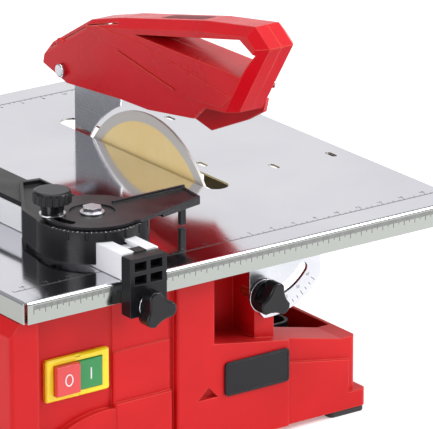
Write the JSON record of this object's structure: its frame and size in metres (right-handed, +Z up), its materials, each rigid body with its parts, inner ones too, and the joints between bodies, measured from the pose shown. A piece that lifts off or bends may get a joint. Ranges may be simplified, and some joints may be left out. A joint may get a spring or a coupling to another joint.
{
  "type": "tile cutter",
  "caption": "Bench-top wet tile cutter with tilting steel table, swinging blade guard, sliding fence with a swivelling mitre stop, and a red plastic housing holding the motor and water tub.",
  "frame": {"origin": "middle of the footprint, on the bench", "axes": "+X to the right, +Y to the back, +Z up"},
  "size_m": [0.4034, 0.4726, 0.301],
  "materials": {
    "red_housing": "satin moulded red plastic",
    "red_guard": "glossy red plastic",
    "table_steel": "polished stainless sheet",
    "plated_steel": "zinc-plated sheet",
    "fastener_steel": "zinc-plated turned steel",
    "black_plastic": "black moulded plastic",
    "rail_aluminium": "clear anodised extrusion",
    "cast_aluminium": "die-cast",
    "blade_steel": "coated core with sintered rim",
    "motor_lamination": "varnished lamination",
    "copper": "enamelled copper wire",
    "brass": "turned brass",
    "yellow_plastic": "yellow plastic",
    "red_button": "red plastic",
    "green_button": "green plastic",
    "rubber": "black rubber",
    "painted_can": "dark painted drawn steel"
  },
  "bodies": {
    "base": {"housing": "red_housing", "motor_cover": "black_plastic", "cover_screws": "fastener_steel", "pivot_bushes": "brass", "clamp_inserts": "brass", "water_tub": "black_plastic", "feet": "rubber", "foot_screws": "fastener_steel", "cable_gland": "black_plastic", "label_plate": "black_plastic", "switch_plate": "yellow_plastic", "switch_body": "black_plastic", "motor_can": "painted_can", "motor_shield": "cast_aluminium", "motor_bearings": "fastener_steel", "shaft_seal": "rubber", "stator": "motor_lamination", "stator_windings": "copper", "motor_screws": "fastener_steel", "capacitor": "cast_aluminium", "riving_knife": "plated_steel", "knife_bracket": "plated_steel", "knife_screws": "fastener_steel", "guard_bolt": "fastener_steel", "guard_nut": "fastener_steel", "guard_spacers": "fastener_steel"},
    "table": {"table_top": "table_steel", "front_quadrant": "plated_steel", "rear_quadrant": "plated_steel", "pivot_pins": "fastener_steel"},
    "arbor": {"motor_shaft": "fastener_steel", "rotor": "motor_lamination", "cooling_fan": "black_plastic", "inner_flange": "fastener_steel", "blade": "blade_steel", "outer_flange": "fastener_steel", "arbor_nut": "fastener_steel"},
    "guard": {"guard_left_shell": "red_guard", "guard_right_shell": "red_guard", "guard_screws": "fastener_steel"},
    "front_tilt_clamp": {"front_tilt_knob": "black_plastic", "front_tilt_stud": "fastener_steel"},
    "rear_tilt_clamp": {"rear_tilt_knob": "black_plastic", "rear_tilt_stud": "fastener_steel"},
    "fence": {"fence_rail": "rail_aluminium", "front_clamp_block": "black_plastic", "rear_clamp_block": "black_plastic"},
    "front_fence_clamp": {"front_fence_knob": "black_plastic", "front_fence_stud": "fastener_steel"},
    "rear_fence_clamp": {"rear_fence_knob": "black_plastic", "rear_fence_stud": "fastener_steel"},
    "stop_slider": {"stop_shoe": "black_plastic", "stop_pivot_screw": "fastener_steel"},
    "stop_swivel": {"stop_head": "black_plastic"},
    "stop_clamp": {"stop_knob": "black_plastic", "stop_stud": "fastener_steel", "stop_washer": "fastener_steel"},
    "off_button": {"stop_button": "red_button"},
    "on_button": {"start_button": "green_button"},
    "drain": {"drain_plug": "rubber"}
  },
  "joints": [
    {"name": "table_tilt", "type": "hinge", "parent": "base", "child": "table", "pos_m": [0.03525, 0, 0.148], "axis": [0, 1, 0], "range_deg": [0, 45]},
    {"name": "blade_spin", "type": "hinge", "parent": "base", "child": "arbor", "pos_m": [0.06325, 0.004, 0.1025], "axis": [1, 0, 0], "continuous": true},
    {"name": "guard_lift", "type": "hinge", "parent": "base", "child": "guard", "pos_m": [0.06325, 0.095, 0.208], "axis": [-1, 0, 0], "range_deg": [-6, 40]},
    {"name": "front_tilt_knob_turn", "type": "hinge", "parent": "base", "child": "front_tilt_clamp", "pos_m": [0.0289, -0.1903, 0.11003], "axis": [0, -1, 0], "range_deg": [-180, 180]},
    {"name": "rear_tilt_knob_turn", "type": "hinge", "parent": "base", "child": "rear_tilt_clamp", "pos_m": [0.0289, 0.1903, 0.11003], "axis": [0, 1, 0], "range_deg": [-180, 180]},
    {"name": "fence_slide", "type": "slide", "parent": "table", "child": "fence", "axis": [1, 0, 0], "range_m": [-0.06, 0.025]},
    {"name": "front_fence_knob_turn", "type": "hinge", "parent": "fence", "child": "front_fence_clamp", "pos_m": [-0.09475, -0.222, 0.138], "axis": [0, -1, 0], "range_deg": [-180, 180]},
    {"name": "rear_fence_knob_turn", "type": "hinge", "parent": "fence", "child": "rear_fence_clamp", "pos_m": [-0.09475, 0.222, 0.138], "axis": [0, 1, 0], "range_deg": [-180, 180]},
    {"name": "stop_slide", "type": "slide", "parent": "fence", "child": "stop_slider", "axis": [0, 1, 0], "range_m": [-0.015, 0.175]},
    {"name": "stop_swing", "type": "hinge", "parent": "stop_slider", "child": "stop_swivel", "pos_m": [-0.08975, -0.143, 0.1833], "axis": [0, 0, 1], "range_deg": [-45, 45]},
    {"name": "stop_knob_turn", "type": "hinge", "parent": "stop_slider", "child": "stop_clamp", "pos_m": [-0.11729, -0.13243, 0.1859], "axis": [0, 0, 1], "range_deg": [-180, 180]},
    {"name": "off_button_push", "type": "slide", "parent": "base", "child": "off_button", "axis": [0, 1, 0], "range_m": [0, 0.003], "stiffness_N_per_m": 400},
    {"name": "on_button_push", "type": "slide", "parent": "base", "child": "on_button", "axis": [0, 1, 0], "range_m": [0, 0.003], "stiffness_N_per_m": 400},
    {"name": "drain_plug_pull", "type": "slide", "parent": "base", "child": "drain", "axis": [1, 0, 0], "range_m": [0, 0.013]}
  ]
}
